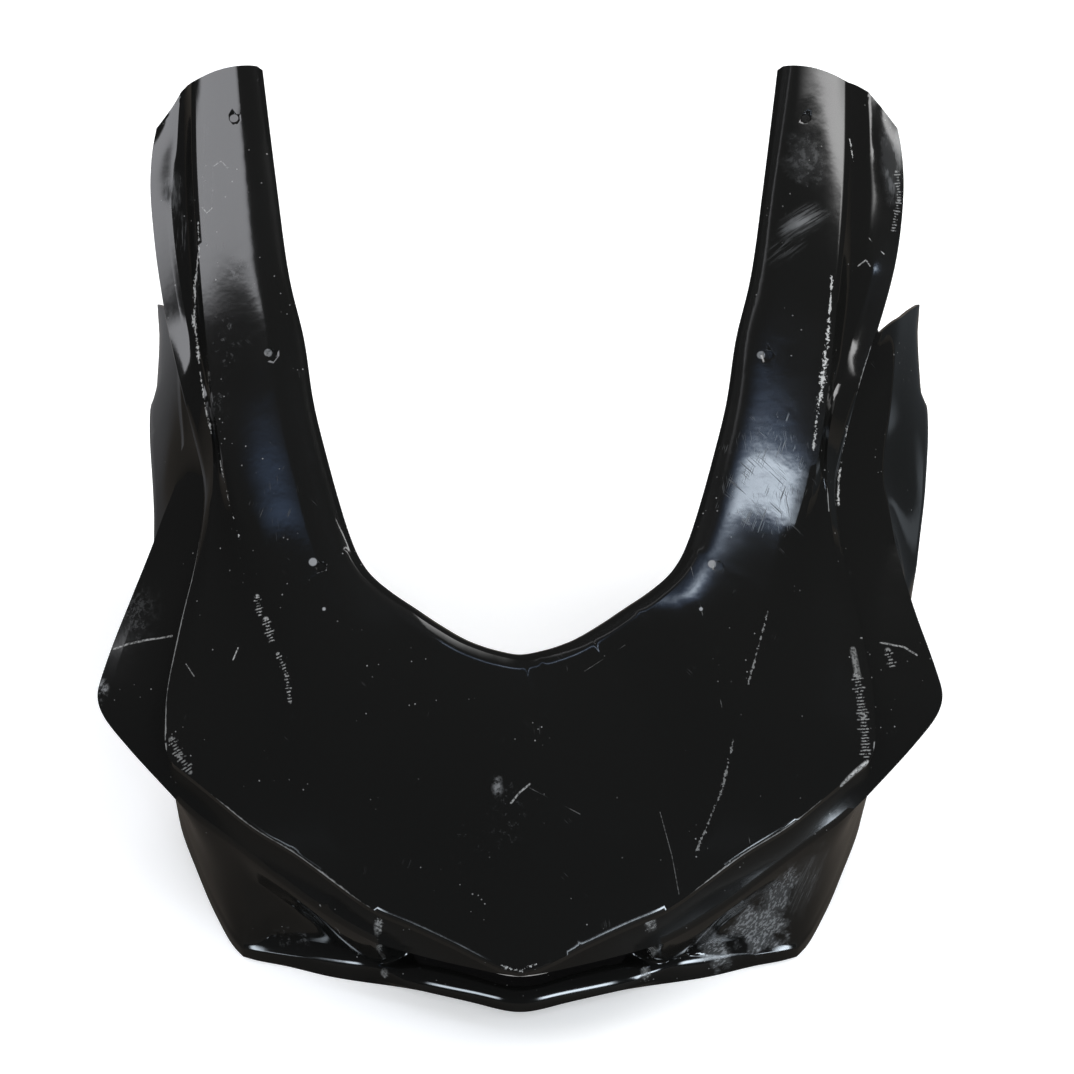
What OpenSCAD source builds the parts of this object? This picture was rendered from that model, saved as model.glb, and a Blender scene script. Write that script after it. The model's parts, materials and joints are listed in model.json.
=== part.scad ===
// Upper fairing of a sports motorcycle: one open glass-fibre laminate.
// Nose towards -Y, left and right along X, lower edge on Z = 0.

/* [Overall size] */
// Width across the two ear points
width = 524; // [490:1:560]
// Length from the brow tip back to the end of an arm
length = 490; // [465:1:520]
// Height of the arm ends above the lower edge
height = 367; // [345:1:390]
// How far the rear of the side panels leans to the right, 0 for an even pair
panel_lean = 12.5; // [0:0.5:14]

/* [Laminate] */
// Thickness of the laminate
wall = 2.8; // [2.2:0.1:3.4]
// Height of the trimmed brow edge
lip_height = 4.6; // [4:0.1:6]
// Width of the flat band along the brow edge
lip_band = 12; // [11:0.5:14]
// Depth of the undercut behind the brow edge
undercut = 10; // [7:0.5:11]

/* [Screen rim] */
// Width of the roll along the screen rim
roll_width = 7; // [5:0.5:9]
// Drop of the roll along the screen rim
roll_drop = 5; // [4:0.5:6]
// Height of the screen rim above the plane of the brow edge
rim_rise = 22; // [18:0.5:26]

/* [Shape of the faces] */
// Height of the crown across an arm
arm_crown = 4; // [2:0.5:6]
// Height of the crown across the nose
nose_crown = 11; // [8:0.5:13]
// Depth of the channel outside the crease
channel_depth = 5; // [3:0.5:6]
// How far the end of an arm bows out between the crease and the edge
end_bow = 7.5; // [0:0.5:9]
// Depth of the hollow in the ledge under the brow
ledge_hollow = 4; // [2:0.5:5]
// Drop from the brow edge to the ledge ridge
ledge_drop = 24; // [22:0.5:27]
// Fullness of the rounded bar under the intake
chin_round = 3.5; // [1:0.5:4]
// Depth of the blank headlight panel beside the intake
blank_depth = 5; // [0:0.5:6]

/* [Screen marks] */
// Diameter of a round screen mark
mark_d = 6.4; // [5:0.2:8]
// Depth of a round screen mark
mark_depth = 1.2; // [0.8:0.1:1.4]

/* [Hidden] */

// Stations run in centimetres along the brow edge, from the brow tip to the end of an arm.
ARM_END = 66.6;
PANEL_END = 54.6;
MOUTH_END = 8;
BESIDE_MOUTH = 8.9;
CHEEK = 9.6;
CORNER = 24;
BEHIND_CORNER = 30;
function runs(a, b, n) = [for (i = [0:n - 1]) a + i * (b - a) / n];
HALF_STATIONS = concat(
    runs(0, MOUTH_END, 8),
    [MOUTH_END, BESIDE_MOUTH],
    runs(CHEEK, CORNER, 12),
    runs(CORNER, BEHIND_CORNER, 10),
    runs(BEHIND_CORNER, PANEL_END, 19),
    runs(PANEL_END, ARM_END, 10),
    [ARM_END]
);
HALF = len(HALF_STATIONS) - 1;
COLUMNS = 2 * HALF + 1;

// The size at which the guide curves below are laid out
LAYOUT = [524, 490, 367];
SCALE = [width / LAYOUT[0], length / LAYOUT[1], height / LAYOUT[2]];

// Plane of the brow edge: it rises to the rear, more steeply along the nose
CORNER_Y = -130;
CORNER_Z = 146;
NOSE_SLOPE = 0.617;
ARM_SLOPE = 0.52;

// Stations between which a feature sets in
CROWN_LOWERS = [0, 32];
CHANNEL_OPENS = [14, 48];
CHANNEL_CLOSES = [60, ARM_END];
BAND_PARTS = [44, 54];
BAND_LIFTS = [61, ARM_END];
CHIN_FADES = [7.5, 11];
ARM_LEANS = [48, 60];
LEDGE_LEANS = [33, 52];
SKIRT_LEANS = [29, 45];
LEDGE_TUCKS = [50, PANEL_END];

// Rise across the band before and at the end of an arm, and what is shut of the channel there
BAND_RISE = [1, 10];
CHANNEL_SHUT = 0.7;
// Pull of the ledge towards the nose where the side panel ends
TUCK = 16;

// Where the rows lie between two folds, and how much of a height each one takes
ROLL_ROW = [0.45, 0.25];
TOP_ROWS = [0, 0.25, 0.5, 0.75];
CHANNEL_ROWS = [[0.3, 1, 0.8], [0.65, 0.8, 1]];
BAND_BOW = 0.65;
LEDGE_ROW = 0.4;
CHIN_ROWS = [[0.5, 0.75, 0.55], [0.45, -0.2, 1]];
ARM_LEAN = 0.36;
LEDGE_LEAN = 0.8;

// The blank headlight panel: its two ends, how far they slant forward from top to bottom, the share of
// the height that each sunk row lies at, where its sill starts, and the way it is sunk
BLANK_STARTS = [12.4, 13.4];
BLANK_ENDS = [18.6, 19.8];
BLANK_SLANT = 1.5;
BLANK_ROWS = [0.33, 0.67, 1];
BLANK_SILL = 0.85;
BLANK_INWARD = [-0.4, 0.92, 0];

// The wall at a sharp fold is measured from no flatter a mitre than this
LEAST_MITRE = 0.55;

// Each guide point is [station, x, y, z]; z of the first four is measured from the brow plane.
RIM = [
    [0, 0, -91, 0], [4, 13, -89, 0], [9, 30, -84, 0], [14.5, 48, -75, 0], [19, 63, -66, 0],
    [23, 78, -57, 0], [26.5, 91, -47, 0], [29, 98, -38, 0], [31, 103, -28, 0], [34.5, 109, -12, 0],
    [41, 119, 19, 0], [46.5, 128, 51, 0], [51.5, 134, 85, 0], [55.5, 144, 120, 0],
    [61.5, 154, 179, 0], [66.6, 164, 244, 0]
];
CREASE = [
    [0, 0, -205, 13], [4, 31, -200, 12], [8, 62, -194, 10], [11, 84, -190, 8], [14.5, 107, -185, 6],
    [17.5, 117, -167, 12], [20, 124, -145, 18], [23.3, 135, -117, 24], [25.5, 141, -98, 25],
    [28.3, 150, -77, 25], [33, 165, -38, 24], [38.7, 180, 5, 22], [45, 190, 51, 22],
    [52, 198, 108, 22], [62, 207, 193, 21], [66.6, 209, 237.5, 21]
];
BROW_EDGE = [
    [0, 0, -245, 0], [1.5, 13, -242, 0], [4, 37, -232, 0], [7.4, 68, -220, 0], [9.6, 88, -213, 0],
    [12.5, 112, -199, 0], [15.5, 136, -184, 0], [18.5, 162, -171, 0], [21.3, 184, -156, 0],
    [23.7, 203, -143, 0], [25, 213, -136, 0], [26.2, 216, -126, 0], [28.3, 216, -108, 0],
    [32.7, 210, -69, 0], [38.3, 199, -20, 0], [41.9, 196, 12, 0], [45.3, 203, 41, 0],
    [50.6, 217, 86, 0], [54.6, 228, 120, 0], [59, 237, 158, 0], [63, 241, 195, 0], [65.5, 240, 215, 0],
    [66.6, 238, 225, 0]
];
LEDGE = [
    [0, 0, -236, 0], [4, 34, -231, 0], [8, 68, -224, 0], [9.6, 88, -219, 0], [10.8, 104, -212, 0],
    [12.5, 126, -200, 0], [15.8, 150, -185, 0], [19, 177, -168, 0], [22, 200, -154, 0],
    [25.3, 225, -133, 0], [27, 245, -114, 0], [28.5, 259, -98, 0], [29.2, 262, -90, 0],
    [31, 258, -74, 0], [35.3, 245, -39, 0], [39.3, 233, -4, 0], [42, 227, 18, 0],
    [44, 222, 34, 0], [46, 221.5, 50, 0], [48.5, 225, 72, 0], [54.6, 231, 127, 0]
];

// Rows below the ledge ridge, z from the lower edge
ROOT = [
    [0, 0, -217, 60], [8, 68, -200, 60], [8.9, 83, -215, 60], [9.6, 88, -217, 60], [12.5, 124, -201, 68],
    [19, 174, -170, 88], [22, 198, -156, 96], [25.3, 217, -132, 108], [27, 226, -114, 112],
    [29.2, 231, -92, 118], [32.7, 234, -62, 135], [37, 234, -24, 158], [42, 227, 18, 184],
    [45.2, 224, 45, 199], [50, 229, 88, 222], [54.6, 234, 138, 246]
];
FLANK = [
    [0, 0, -210, 45], [8, 68, -194, 45], [8.9, 83, -210, 45], [9.6, 88, -212, 45], [12.5, 122, -199, 48],
    [19, 170, -174, 60], [22, 193, -158, 68], [25.3, 212, -129, 84], [29.2, 228, -92, 100],
    [37, 238, -24, 140], [42, 238, 25, 168], [45.2, 240, 60, 186], [50, 244, 108, 204],
    [54.6, 243.5, 163, 228]
];
WAIST = [
    [0, 0, -206, 30], [8, 68, -190, 30], [8.9, 83, -206, 30], [9.6, 88, -207, 30], [12.5, 120, -198, 32],
    [19, 168, -182, 40], [22, 190, -162, 45], [25.3, 209, -130, 58], [29.2, 226, -92, 78],
    [37, 243, -20, 128], [42, 248, 35, 157], [45.2, 252, 66, 167], [50, 258, 125, 177],
    [54.6, 257, 195, 202]
];
HEM = [
    [0, 0, -213, 20], [8, 66, -195, 18], [8.9, 83, -204, 15], [9.6, 88, -203, 15], [11, 103, -198, 15],
    [15.5, 153, -190, 15], [20.5, 176, -187, 15], [23.5, 194, -160, 18], [26, 208, -131, 24],
    [29.2, 224, -92, 40], [37, 242, -18, 72], [45.2, 253, 68, 92], [54.6, 257, 158, 105]
];
FLANGE = [
    [0, 0, -234, 19], [4, 30, -226, 19], [8, 62, -217, 18], [9.6, 90, -206, 11], [11, 103, -202, 11],
    [15.5, 153, -194, 11], [20.5, 177, -189, 11], [23.5, 195, -160, 11], [26, 209, -129, 12],
    [29.2, 225, -90, 16], [37, 242, -16, 24], [45.2, 252, 60, 28], [54.6, 254, 124, 30]
];
LOWER_EDGE = [
    [0, 0, -228, 0], [3.5, 30, -222, 0], [7.5, 67, -213, 0], [13, 120, -204, 0], [15.5, 145, -197, 0],
    [20.5, 177, -189, 0], [23.5, 196, -159, 0], [26, 210, -128, 0], [29.2, 225, -90, 0],
    [37, 242, -15, 0], [45.2, 250, 55, 0], [54.6, 251, 112, 0]
];

// Station and place across the top face of each screen mark
MARKS = [[29.5, 0.31], [49, 0.28], [64, 0.36]];

function brow_height(y) = CORNER_Z + (y - CORNER_Y) * (y < CORNER_Y ? NOSE_SLOPE : ARM_SLOPE);
function ramp(s, a) = let (t = max(0, min(1, (s - a[0]) / (a[1] - a[0])))) t * t * (3 - 2 * t);
function mix(p, q, t) = p + (q - p) * t;
function unit(v) = v / norm(v);
function flat(v) = [v[0], v[1], 0];

// Smooth curve through guide points, level across the middle of the part
function slope_at(g, i, k) =
    let (n = len(g) - 1)
    i == 0 ? (k == 1 ? (g[1][k] - g[0][k]) / (g[1][0] - g[0][0]) : 0) :
    i == n ? (g[n][k] - g[n - 1][k]) / (g[n][0] - g[n - 1][0]) :
    let (
        a = (g[i][k] - g[i - 1][k]) / (g[i][0] - g[i - 1][0]),
        b = (g[i + 1][k] - g[i][k]) / (g[i + 1][0] - g[i][0])
    )
    a * b <= 0 ? 0 : 2 * a * b / (a + b);
function span(g, s, i = 0) = i >= len(g) - 2 || s <= g[i + 1][0] ? i : span(g, s, i + 1);
function hermite(p, q, m, n, t) =
    p * (2 * t ^ 3 - 3 * t ^ 2 + 1) + m * (t ^ 3 - 2 * t ^ 2 + t)
    + q * (3 * t ^ 2 - 2 * t ^ 3) + n * (t ^ 3 - t ^ 2);
function along(g, s) =
    let (i = span(g, s), h = g[i + 1][0] - g[i][0], t = (s - g[i][0]) / h)
    [for (k = [1:3]) hermite(g[i][k], g[i + 1][k], slope_at(g, i, k) * h, slope_at(g, i + 1, k) * h, t)];
function on_brow(g, s, rise) = let (p = along(g, s)) [p[0], p[1], brow_height(p[1]) + p[2] + rise];

// Top face from the top of the roll to the crease
function crown_at(s) = mix(nose_crown, arm_crown, ramp(s, CROWN_LOWERS));
function top_face(s, f) =
    let (rim = on_brow(RIM, s, rim_rise), crease = on_brow(CREASE, s, 0))
    let (start = rim + roll_width * unit(flat(crease - rim)) + [0, 0, roll_drop])
    mix(start, crease, f) + [0, 0, crown_at(s) * 4 * f * (1 - f)];

// Row of the channel between the crease and the band, sunk by a sag and bowed out at the arm's end
function channel_row(crease, band, r, sag, bow) =
    mix(crease, band, r[0]) + [0, bow * r[2], -sag * r[1]];

// Row of the rounded bar under the intake
function chin_row(p, q, r, s) =
    mix(p, q, r[0]) + chin_round * (1 - ramp(s, CHIN_FADES)) * [0, -r[2], r[1]];

// Point of the side of the nose, sunk where the blank headlight panel is
function sunk(p, s, share) =
    let (t = s + BLANK_SLANT * share)
    p + blank_depth * ramp(t, BLANK_STARTS) * (1 - ramp(t, BLANK_ENDS)) * BLANK_INWARD;

// One profile across the part, from the screen rim out and down to the lower edge
function profile(s) =
    let (
        rim = on_brow(RIM, s, rim_rise),
        crease = on_brow(CREASE, s, 0),
        edge = on_brow(BROW_EDGE, s, 0),
        bow = end_bow * ramp(s, CHANNEL_CLOSES),
        inboard = crease - edge,
        step = lip_band / norm(flat(inboard)),
        lift = mix(BAND_RISE[0], BAND_RISE[1], ramp(s, BAND_LIFTS)),
        band_rise = mix(inboard[2] * step, lift, ramp(s, BAND_PARTS)),
        band = edge + flat(inboard) * step + [0, bow * BAND_BOW, band_rise],
        sag = channel_depth * (ramp(s, CHANNEL_OPENS) - CHANNEL_SHUT * ramp(s, CHANNEL_CLOSES)),
        under = edge - [0, 0, lip_height],
        root = under + (band - edge) * undercut / lip_band,
        ridge = on_brow(LEDGE, s, -ledge_drop),
        waist = along(WAIST, s),
        hem = along(HEM, s),
        flange = along(FLANGE, s),
        base = along(LOWER_EDGE, s)
    )
    [
        rim,
        mix(rim, top_face(s, 0), ROLL_ROW[0]) + [0, 0, roll_drop * ROLL_ROW[1]],
        for (f = TOP_ROWS) top_face(s, f),
        crease,
        for (r = CHANNEL_ROWS) channel_row(crease, band, r, sag, bow),
        band, edge, under, root,
        mix(root, ridge, LEDGE_ROW) - [0, TUCK * ramp(s, LEDGE_TUCKS), ledge_hollow],
        ridge,
        along(ROOT, s),
        sunk(along(FLANK, s), s, BLANK_ROWS[0]), sunk(waist, s, BLANK_ROWS[1]),
        sunk(mix(waist, hem, BLANK_SILL), s, BLANK_ROWS[2]), hem,
        chin_row(hem, flange, CHIN_ROWS[0], s), flange, chin_row(flange, base, CHIN_ROWS[1], s),
        base
    ];

// Row numbers of the profile that the walls below refer to
ROW_CREASE = 6;
ROW_BAND = 9;
ROW_UNDERCUT = 12;
ROW_RIDGE = 14;
ROW_MOUTH_TOP = 15;
ROW_MOUTH_BASE = 19;
ROWS = 24;
ROW_LAST = ROWS - 1;

function side(j) = j < HALF ? -1 : 1;
function station(j) = HALF_STATIONS[abs(j - HALF)];
function sized(p, m) = [p[0] * m * SCALE[0], p[1] * SCALE[1], p[2] * SCALE[2]];
function lean(i, s) =
    i <= ROW_CREASE ? 0 :
    i <= ROW_UNDERCUT ?
        panel_lean * ARM_LEAN * min(1, (i - ROW_CREASE) / (ROW_BAND - ROW_CREASE)) * ramp(s, ARM_LEANS) :
    i < ROW_RIDGE ? panel_lean * LEDGE_LEAN * LEDGE_ROW * ramp(s, LEDGE_LEANS) :
    i == ROW_RIDGE ? panel_lean * LEDGE_LEAN * ramp(s, LEDGE_LEANS) :
    panel_lean * ramp(s, SKIRT_LEANS);
function column(rows, j) =
    [for (i = [0:ROW_LAST]) sized(rows[i], side(j)) + [lean(i, station(j)), 0, 0]];
OUTER = [for (j = [0:COLUMNS - 1]) column(profile(station(j)), j)];

// The brow edge is solid, so the inner skin passes straight behind it
function behind(c, i) =
    i > ROW_BAND && i < ROW_UNDERCUT ? mix(c[ROW_BAND], c[ROW_UNDERCUT], (i - ROW_BAND) / 3) : c[i];
CORE = [for (c = OUTER) [for (i = [0:ROW_LAST]) behind(c, i)]];

// Which cells of the sheet exist: none in the mouth, none below the undercut along the arms
function in_mouth(i, j) =
    i >= ROW_MOUTH_TOP && i < ROW_MOUTH_BASE && max(station(j), station(j + 1)) <= MOUTH_END + 0.01;
function on_arm(i, j) = i >= ROW_UNDERCUT && max(station(j), station(j + 1)) > PANEL_END + 0.01;
function cell(i, j) =
    i >= 0 && i < ROW_LAST && j >= 0 && j < COLUMNS - 1 && !in_mouth(i, j) && !on_arm(i, j);

// The lean moves the box sideways, so the part is set back over the middle of its footprint
ALL_X = [
    for (j = [0:COLUMNS - 2], i = [0:ROW_LAST - 1]) if (cell(i, j)) each [OUTER[j][i][0], OUTER[j + 1][i][0]]
];
MIDDLE_X = (min(ALL_X) + max(ALL_X)) / 2;

// Outward normal of a cell and of a grid point, the latter lengthened at folds to keep the wall
function cell_normal(g, i, j) =
    unit(cross(g[j + 1][i + 1] - g[j][i], g[j + 1][i] - g[j][i + 1]));
function around(g, i, j) = [
    for (a = [i - 1, i], b = [j - 1, j]) if (cell(a, b)) cell_normal(g, a, b)
];
function sum(v, n = 0) = n >= len(v) ? [0, 0, 0] : v[n] + sum(v, n + 1);
function inset(g, i, j) =
    let (a = around(g, i, j), n = len(a) == 0 ? [0, 0, 1] : unit(sum(a)))
    let (even = len(a) == 0 ? 1 : min([for (m = a) m * n]))
    n * wall / max(LEAST_MITRE, even);
function inner_point(i, j) =
    let (p = CORE[j][i] - inset(CORE, i, j)) i == ROW_LAST ? [p[0], p[1], CORE[j][i][2]] : p;
INNER = [for (j = [0:COLUMNS - 1]) [for (i = [0:ROW_LAST]) inner_point(i, j)]];

function outer_at(i, j) = j * ROWS + i;
function inner_at(i, j) = COLUMNS * ROWS + outer_at(i, j);
function quad(a, b, c, d) = [[c, b, a], [d, c, a]];
function rim_faces(i, j) = concat(
    cell(i - 1, j) ? [] : quad(outer_at(i, j), outer_at(i, j + 1), inner_at(i, j + 1), inner_at(i, j)),
    cell(i + 1, j) ? [] :
        quad(outer_at(i + 1, j + 1), outer_at(i + 1, j), inner_at(i + 1, j), inner_at(i + 1, j + 1)),
    cell(i, j - 1) ? [] : quad(outer_at(i + 1, j), outer_at(i, j), inner_at(i, j), inner_at(i + 1, j)),
    cell(i, j + 1) ? [] :
        quad(outer_at(i, j + 1), outer_at(i + 1, j + 1), inner_at(i + 1, j + 1), inner_at(i, j + 1))
);
FACES = [
    for (j = [0:COLUMNS - 2], i = [0:ROW_LAST - 1]) if (cell(i, j)) each concat(
        quad(outer_at(i, j), outer_at(i + 1, j), outer_at(i + 1, j + 1), outer_at(i, j + 1)),
        quad(inner_at(i, j), inner_at(i, j + 1), inner_at(i + 1, j + 1), inner_at(i + 1, j)),
        rim_faces(i, j)
    )
];

// Middle and outward direction of a screen mark on the top face
function mark_point(m, side) = sized(top_face(m[0], m[1]), side);
function mark_axis(m, side) =
    let (
        u = mark_point([m[0] + 0.4, m[1]], side) - mark_point([m[0] - 0.4, m[1]], side),
        v = mark_point([m[0], m[1] + 0.04], side) - mark_point([m[0], m[1] - 0.04], side),
        n = unit(cross(u, v))
    )
    n[2] < 0 ? -n : n;

module shell() {
    polyhedron(points = concat([for (c = OUTER) each c], [for (c = INNER) each c]), faces = FACES, convexity = 8);
}

module mark(m, side) {
    axis = mark_axis(m, side);
    translate(mark_point(m, side))
        rotate([0, acos(axis[2]), atan2(axis[1], axis[0])])
            translate([0, 0, -mark_depth])
                cylinder(d = mark_d, h = mark_depth + 3, $fn = 48);
}

module fairing() {
    color("#1a1a18") translate([-MIDDLE_X, 0, 0]) difference() {
        shell();
        for (m = MARKS, side = [-1, 1]) mark(m, side);
    }
}

fairing();
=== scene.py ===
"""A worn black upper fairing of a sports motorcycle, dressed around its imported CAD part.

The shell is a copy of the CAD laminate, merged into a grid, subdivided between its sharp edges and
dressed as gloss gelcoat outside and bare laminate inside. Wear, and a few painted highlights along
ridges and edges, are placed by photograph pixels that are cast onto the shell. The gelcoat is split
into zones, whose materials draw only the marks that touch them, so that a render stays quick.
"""

import json
import logging
import math
from bisect import bisect
from collections.abc import Callable
from dataclasses import dataclass
from enum import Enum

import bmesh
import bpy
from mathutils import Matrix, Vector
from mathutils.bvhtree import BVHTree
from mathutils.kdtree import KDTree


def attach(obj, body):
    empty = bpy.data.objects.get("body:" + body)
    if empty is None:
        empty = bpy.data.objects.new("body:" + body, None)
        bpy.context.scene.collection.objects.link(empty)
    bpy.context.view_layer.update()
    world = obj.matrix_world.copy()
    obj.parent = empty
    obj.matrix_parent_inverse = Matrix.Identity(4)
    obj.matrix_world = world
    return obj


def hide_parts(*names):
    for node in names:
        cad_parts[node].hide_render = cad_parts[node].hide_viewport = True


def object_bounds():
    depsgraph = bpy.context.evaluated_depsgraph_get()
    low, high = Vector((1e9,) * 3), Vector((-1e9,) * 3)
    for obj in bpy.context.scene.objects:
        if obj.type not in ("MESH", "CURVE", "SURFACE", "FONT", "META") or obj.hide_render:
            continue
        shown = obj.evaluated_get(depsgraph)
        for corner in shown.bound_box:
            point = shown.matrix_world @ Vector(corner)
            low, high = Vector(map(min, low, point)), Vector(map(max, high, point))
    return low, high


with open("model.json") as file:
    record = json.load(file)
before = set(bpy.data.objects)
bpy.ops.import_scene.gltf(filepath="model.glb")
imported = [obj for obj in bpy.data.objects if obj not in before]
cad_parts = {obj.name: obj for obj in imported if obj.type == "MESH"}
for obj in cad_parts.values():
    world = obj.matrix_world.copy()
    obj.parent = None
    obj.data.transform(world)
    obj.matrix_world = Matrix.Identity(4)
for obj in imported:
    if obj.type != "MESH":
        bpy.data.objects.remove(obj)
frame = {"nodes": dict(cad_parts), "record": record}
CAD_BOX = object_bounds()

LOG = logging.getLogger("fairing")
NODE = "fairing"
BODY = "root"
MM = 0.001
FACE_TILT = math.radians(27.5)
UNSEEN = 1e-8
TICK_STEP = 1.9 * MM

Pixel = tuple[float, float]
Colour = tuple[float, float, float]
Socket = bpy.types.NodeSocket


class Skin(Enum):
    """Which side of the laminate a face belongs to."""

    GELCOAT = 0
    LAMINATE = 1


class MarkKind(Enum):
    """How a mark on the gelcoat looks; the scratch-like line also draws painted highlights along ridges and
    edges.
    """

    SCRATCH = "scratch"
    CHIPS = "chips"
    COMB = "comb"


@dataclass(frozen=True)
class PhotoView:
    """The camera that took the photograph, as fitted to the part.

    Lengths are in metres and pixels are those of the square photograph.
    """

    image_px: float = 1074.0
    target_px: Pixel = (520.0, 537.0)
    target: tuple[float, float, float] = (-0.00427, -0.040, 0.238)
    elevation: float = math.radians(50.0)
    distance: float = 1.5
    focal_px: float = 2490.0
    sensor: float = 36.0

    def forward(self) -> Vector:
        """Returns the direction in which the camera looks."""
        return Vector((0.0, math.cos(self.elevation), -math.sin(self.elevation)))

    def upward(self) -> Vector:
        """Returns the direction that is up in the picture."""
        return Vector((0.0, math.sin(self.elevation), math.cos(self.elevation)))

    def eye(self) -> Vector:
        """Returns where the camera stands."""
        return Vector(self.target) - self.forward() * self.distance

    def ray(self, pixel: Pixel) -> Vector:
        """Works out the direction of a pixel's line of sight.

        Args:
            pixel: column and row in the photograph.

        Returns:
            The unit direction from the camera's place.
        """
        right = (pixel[0] - self.target_px[0]) / self.focal_px
        up = (self.target_px[1] - pixel[1]) / self.focal_px
        return (self.forward() + Vector((right, 0.0, 0.0)) + self.upward() * up).normalized()

    def build(self) -> bpy.types.Object:
        """Builds the scene's camera and returns it."""
        data = bpy.data.cameras.new("photo_camera")
        data.sensor_width = self.sensor
        data.lens = self.focal_px / self.image_px * self.sensor
        data.shift_x = (self.image_px / 2 - self.target_px[0]) / self.image_px
        data.shift_y = (self.target_px[1] - self.image_px / 2) / self.image_px
        data.clip_end = 50.0
        camera = bpy.data.objects.new("photo_camera", data)
        camera.location = self.eye()
        camera.rotation_euler = (math.pi / 2 - self.elevation, 0.0, 0.0)
        bpy.context.scene.collection.objects.link(camera)
        bpy.context.scene.camera = camera
        return camera


class Graph:
    """A short way to write shader nodes into a tree."""

    def __init__(self, tree: bpy.types.NodeTree) -> None:
        """Keeps the tree that nodes are added to."""
        self.tree = tree

    def add(self, kind: str, **values: object) -> bpy.types.Node:
        """Adds a node.

        Args:
            kind: the node's type name.
            values: node properties to set.

        Returns:
            The new node.
        """
        node = self.tree.nodes.new(kind)
        for key, value in values.items():
            setattr(node, key, value)
        return node

    def feed(self, socket: Socket, value: object) -> None:
        """Links a socket to another one, or sets its own value.

        Args:
            socket: the input to feed.
            value: an output socket, a number, a colour or a vector.
        """
        if isinstance(value, Socket):
            self.tree.links.new(value, socket)
        elif socket.type == "RGBA" and len(value) == 3:
            socket.default_value = (*value, 1.0)
        else:
            socket.default_value = value

    def math(self, operation: str, a: object, b: object = 0.0, clamp: bool = False) -> Socket:
        """Adds a Math node and returns its output."""
        node = self.add("ShaderNodeMath", operation=operation, use_clamp=clamp)
        self.feed(node.inputs[0], a)
        self.feed(node.inputs[1], b)
        return node.outputs[0]

    def vector(self, operation: str, a: object, b: object = (0.0, 0.0, 0.0)) -> bpy.types.Node:
        """Adds a Vector Math node and returns it."""
        node = self.add("ShaderNodeVectorMath", operation=operation)
        self.feed(node.inputs[0], a)
        self.feed(node.inputs[1], b)
        return node

    def ease(self, value: object, low: object, high: object, start: float = 0.0, end: float = 1.0) -> Socket:
        """Maps a value smoothly from one range to another.

        Args:
            value: what is mapped.
            low: the value that gives start.
            high: the value that gives end.
            start: the result at low.
            end: the result at high.

        Returns:
            The mapped output.
        """
        node = self.add("ShaderNodeMapRange", interpolation_type="SMOOTHSTEP")
        names = ("Value", "From Min", "From Max", "To Min", "To Max")
        for name, item in zip(names, (value, low, high, start, end)):
            self.feed(node.inputs[name], item)
        return node.outputs["Result"]

    def noise(self, place: object, scale: float, detail: float = 2.0, rough: float = 0.5) -> Socket:
        """Adds a Noise Texture and returns its grey output."""
        node = self.add("ShaderNodeTexNoise")
        self.feed(node.inputs["Vector"], place)
        self.feed(node.inputs["Scale"], scale)
        self.feed(node.inputs["Detail"], detail)
        self.feed(node.inputs["Roughness"], rough)
        return node.outputs["Fac"]

    def blend(self, factor: object, a: object, b: object) -> Socket:
        """Mixes two colours and returns the result."""
        node = self.add("ShaderNodeMix", data_type="RGBA")
        self.feed(node.inputs["Factor"], factor)
        self.feed(node.inputs[6], a)
        self.feed(node.inputs[7], b)
        return node.outputs[2]

    def place(self, across: float = 1.0, along: float = 1.0, turn: float = 0.0) -> Socket:
        """Adds Object coordinates, drawn out along one direction of the upper face.

        Args:
            across: how fine the pattern is across that direction.
            along: how fine it is along that direction.
            turn: the angle between that direction and straight up the face.

        Returns:
            The coordinates' output.
        """
        texture = self.add("ShaderNodeTexCoord")
        if across == along:
            return texture.outputs["Object"]
        mapping = self.add("ShaderNodeMapping", vector_type="TEXTURE")
        self.feed(mapping.inputs["Vector"], texture.outputs["Object"])
        face = Matrix.Rotation(FACE_TILT, 3, "X") @ Matrix.Rotation(turn, 3, "Z")
        mapping.inputs["Rotation"].default_value = face.to_euler("XYZ")
        mapping.inputs["Scale"].default_value = (1.0 / across, 1.0 / along, 1.0 / along)
        return mapping.outputs["Vector"]

    def after(self, place: Socket, mask: Socket) -> Socket:
        """Passes a place on once a mask is known, so that many marks are worked out one by one.

        Args:
            place: the coordinates.
            mask: the mask that comes first.

        Returns:
            The same coordinates, moved by less than can be seen.
        """
        node = self.add("ShaderNodeVectorMath", operation="MULTIPLY_ADD")
        self.feed(node.inputs[0], mask)
        self.feed(node.inputs[1], (UNSEEN, UNSEEN, UNSEEN))
        self.feed(node.inputs[2], place)
        return node.outputs["Vector"]

    def group(self, tree: bpy.types.NodeTree, **values: object) -> bpy.types.Node:
        """Adds a node group with the values of its named inputs and returns it."""
        node = self.add("ShaderNodeGroup", node_tree=tree)
        for key, value in values.items():
            self.feed(node.inputs[key], value)
        return node


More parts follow.
